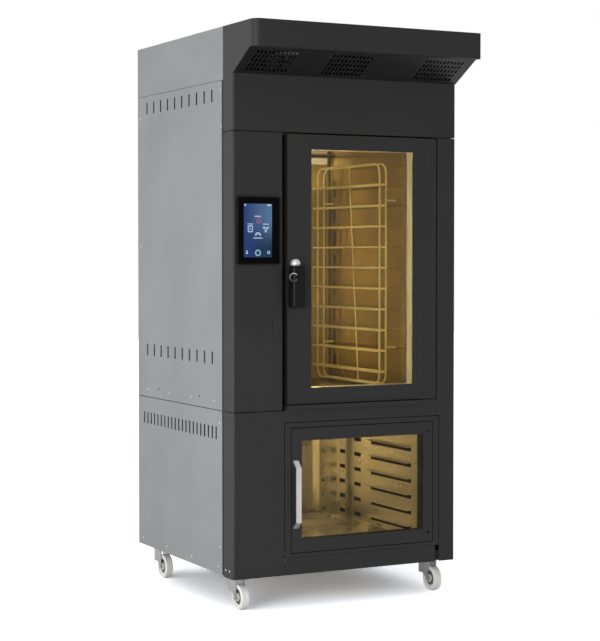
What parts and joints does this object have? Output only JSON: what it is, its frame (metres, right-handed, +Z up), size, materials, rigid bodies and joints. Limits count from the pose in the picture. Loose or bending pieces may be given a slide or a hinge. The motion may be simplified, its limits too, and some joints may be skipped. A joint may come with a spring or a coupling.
{
  "type": "bakery convection oven with proofer",
  "caption": "Tall charcoal convection oven with a touch panel and glazed door, over a glazed proofing cabinet, under a vapour hood, on castors.",
  "frame": {"origin": "middle of the overall footprint, on the floor", "axes": "+Z up, front of the oven towards -Y, control panel towards -X"},
  "size_m": [1, 1.153, 2.261],
  "materials": {
    "charcoal_coat": "matte",
    "grey_coat": "satin",
    "stainless": "satin",
    "polished_stainless": "polished",
    "zinc_steel": "satin",
    "chrome": "polished",
    "door_glass": "gloss",
    "screen_glass": "gloss",
    "lamp_lens": "frosted",
    "black_plastic": "satin",
    "silicone": "matte",
    "white_nylon": "satin",
    "cast_aluminium": "cast",
    "mineral_wool": "fibrous",
    "circuit_board": "satin",
    "satin_steel": "satin",
    "gland_plastic": "matte"
  },
  "bodies": {
    "cabinet": {"chassis_frame": "charcoal_coat", "castor_plates": "zinc_steel", "lower_side_covers": "grey_coat", "main_side_covers": "grey_coat", "top_side_covers": "grey_coat", "panel_screws": "satin_steel", "back_cover": "grey_coat", "cable_gland": "gland_plastic", "top_cover": "grey_coat", "hood_canopy": "charcoal_coat", "hood_filter": "polished_stainless", "fan_motors": "cast_aluminium", "fascia_panel": "charcoal_coat", "control_panel": "charcoal_coat", "right_frame": "charcoal_coat", "lower_front_cover": "charcoal_coat", "proofer_surround": "charcoal_coat", "kick_plate": "charcoal_coat", "drip_gutter": "charcoal_coat", "oven_liner": "stainless", "oven_insulation": "mineral_wool", "fan_baffle": "stainless", "oven_lamp": "lamp_lens", "ring_heaters": "stainless", "tray_rack_left": "stainless", "tray_rack_right": "stainless", "hinge_pins": "satin_steel", "latch_keeper": "black_plastic", "touch_panel_case": "black_plastic", "touch_panel_glass": "screen_glass", "control_board": "circuit_board", "power_box": "zinc_steel", "proofer_liner": "stainless", "proofer_runners": "stainless", "proofer_duct": "stainless", "humidifier_pan": "stainless"},
    "oven_door": {"oven_door_skin": "charcoal_coat", "oven_door_inner": "stainless", "oven_door_outer_glass": "door_glass", "oven_door_inner_glass": "door_glass", "oven_door_gasket": "silicone"},
    "latch": {"latch_lever": "black_plastic", "latch_boss": "chrome"},
    "proofer_door": {"proofer_door_skin": "charcoal_coat", "proofer_door_inner": "charcoal_coat", "proofer_door_glass": "door_glass", "proofer_door_gasket": "silicone", "proofer_door_screws": "black_plastic", "proofer_door_handle": "satin_steel"},
    "convection_fan_upper": {"convection_fan_upper": "stainless"},
    "convection_fan_lower": {"convection_fan_lower": "stainless"},
    "hood_fan": {"hood_fan_wheel": "zinc_steel"},
    "castor_front_left": {"castor_fork_front_left": "zinc_steel"},
    "wheel_front_left": {"castor_wheel_front_left": "white_nylon"},
    "castor_front_right": {"castor_fork_front_right": "zinc_steel"},
    "wheel_front_right": {"castor_wheel_front_right": "white_nylon"},
    "castor_rear_left": {"castor_fork_rear_left": "zinc_steel"},
    "wheel_rear_left": {"castor_wheel_rear_left": "white_nylon"},
    "castor_rear_right": {"castor_fork_rear_right": "zinc_steel"},
    "wheel_rear_right": {"castor_wheel_rear_right": "white_nylon"}
  },
  "joints": [
    {"name": "oven_door_hinge", "type": "hinge", "parent": "cabinet", "child": "oven_door", "pos_m": [0.4, -0.3805, 1.324], "axis": [0, 0, 1], "range_deg": [0, 110]},
    {"name": "latch_turn", "type": "hinge", "parent": "oven_door", "child": "latch", "pos_m": [-0.235, -0.3885, 1.3485], "axis": [0, -1, 0], "range_deg": [0, 90]},
    {"name": "proofer_door_hinge", "type": "hinge", "parent": "cabinet", "child": "proofer_door", "pos_m": [0.386, -0.3815, 0.46], "axis": [0, 0, 1], "range_deg": [0, 105]},
    {"name": "convection_fan_upper_spin", "type": "hinge", "parent": "cabinet", "child": "convection_fan_upper", "pos_m": [0.055, 0.4015, 1.56], "axis": [0, 1, 0], "continuous": true},
    {"name": "convection_fan_lower_spin", "type": "hinge", "parent": "cabinet", "child": "convection_fan_lower", "pos_m": [0.055, 0.4015, 1.09], "axis": [0, 1, 0], "continuous": true},
    {"name": "hood_fan_spin", "type": "hinge", "parent": "cabinet", "child": "hood_fan", "pos_m": [0, 0.0915, 2.15], "axis": [0, 0, 1], "continuous": true},
    {"name": "castor_front_left_swivel", "type": "hinge", "parent": "cabinet", "child": "castor_front_left", "pos_m": [-0.437, -0.2815, 0.13], "axis": [0, 0, 1], "continuous": true},
    {"name": "wheel_front_left_roll", "type": "hinge", "parent": "castor_front_left", "child": "wheel_front_left", "pos_m": [-0.437, -0.3185, 0.05], "axis": [1, 0, 0], "continuous": true},
    {"name": "castor_front_right_swivel", "type": "hinge", "parent": "cabinet", "child": "castor_front_right", "pos_m": [0.437, -0.2815, 0.13], "axis": [0, 0, 1], "continuous": true},
    {"name": "wheel_front_right_roll", "type": "hinge", "parent": "castor_front_right", "child": "wheel_front_right", "pos_m": [0.437, -0.3185, 0.05], "axis": [1, 0, 0], "continuous": true},
    {"name": "castor_rear_left_swivel", "type": "hinge", "parent": "cabinet", "child": "castor_rear_left", "pos_m": [-0.437, 0.4695, 0.13], "axis": [0, 0, 1], "continuous": true},
    {"name": "wheel_rear_left_roll", "type": "hinge", "parent": "castor_rear_left", "child": "wheel_rear_left", "pos_m": [-0.437, 0.4325, 0.05], "axis": [1, 0, 0], "continuous": true},
    {"name": "castor_rear_right_swivel", "type": "hinge", "parent": "cabinet", "child": "castor_rear_right", "pos_m": [0.437, 0.4695, 0.13], "axis": [0, 0, 1], "continuous": true},
    {"name": "wheel_rear_right_roll", "type": "hinge", "parent": "castor_rear_right", "child": "wheel_rear_right", "pos_m": [0.437, 0.4325, 0.05], "axis": [1, 0, 0], "continuous": true}
  ]
}
